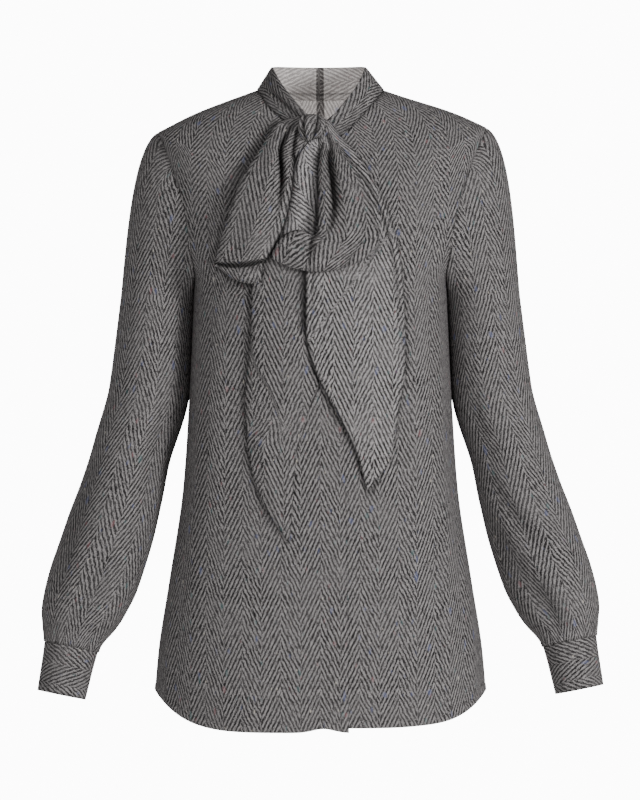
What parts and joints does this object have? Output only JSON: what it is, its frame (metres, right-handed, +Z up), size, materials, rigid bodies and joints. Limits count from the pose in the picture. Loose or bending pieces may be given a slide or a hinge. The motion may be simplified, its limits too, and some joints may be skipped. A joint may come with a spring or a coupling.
{
  "type": "tie neck blouse",
  "caption": "Hollow long-sleeved blouse in herringbone cloth with a standing neckband tied in a soft drooping bow, a concealed front fly, gathered cuffs and a curved shirttail hem.",
  "frame": {"origin": "midway between the two points where the shoulder seams meet the neckband, where the wearer's neck and shoulders hold the blouse up", "axes": "+X to the wearer's left, +Y to the wearer's back, +Z up"},
  "size_m": [0.621, 0.2485, 0.7304],
  "materials": {
    "cloth": "soft matte herringbone crepe",
    "tie_cloth": "soft matte herringbone crepe, doubled",
    "buttons": "polished dark horn"
  },
  "bodies": {
    "root": {"front_right": "cloth", "front_left": "cloth", "back": "cloth", "sleeve_left_upper": "cloth", "sleeve_left_lower": "cloth", "sleeve_right_upper": "cloth", "sleeve_right_lower": "cloth", "cuff_left": "cloth", "cuff_right": "cloth", "cuff_button_left": "buttons", "cuff_button_right": "buttons", "fly_button_1": "buttons", "fly_button_2": "buttons", "fly_button_3": "buttons", "fly_button_4": "buttons", "fly_button_5": "buttons", "fly_button_6": "buttons", "fly_button_7": "buttons", "neckband": "tie_cloth", "tie_knot": "tie_cloth", "tie_loop_right": "tie_cloth", "tie_loop_left": "tie_cloth", "tie_tail_right": "tie_cloth", "tie_tail_left": "tie_cloth"}
  },
  "joints": []
}
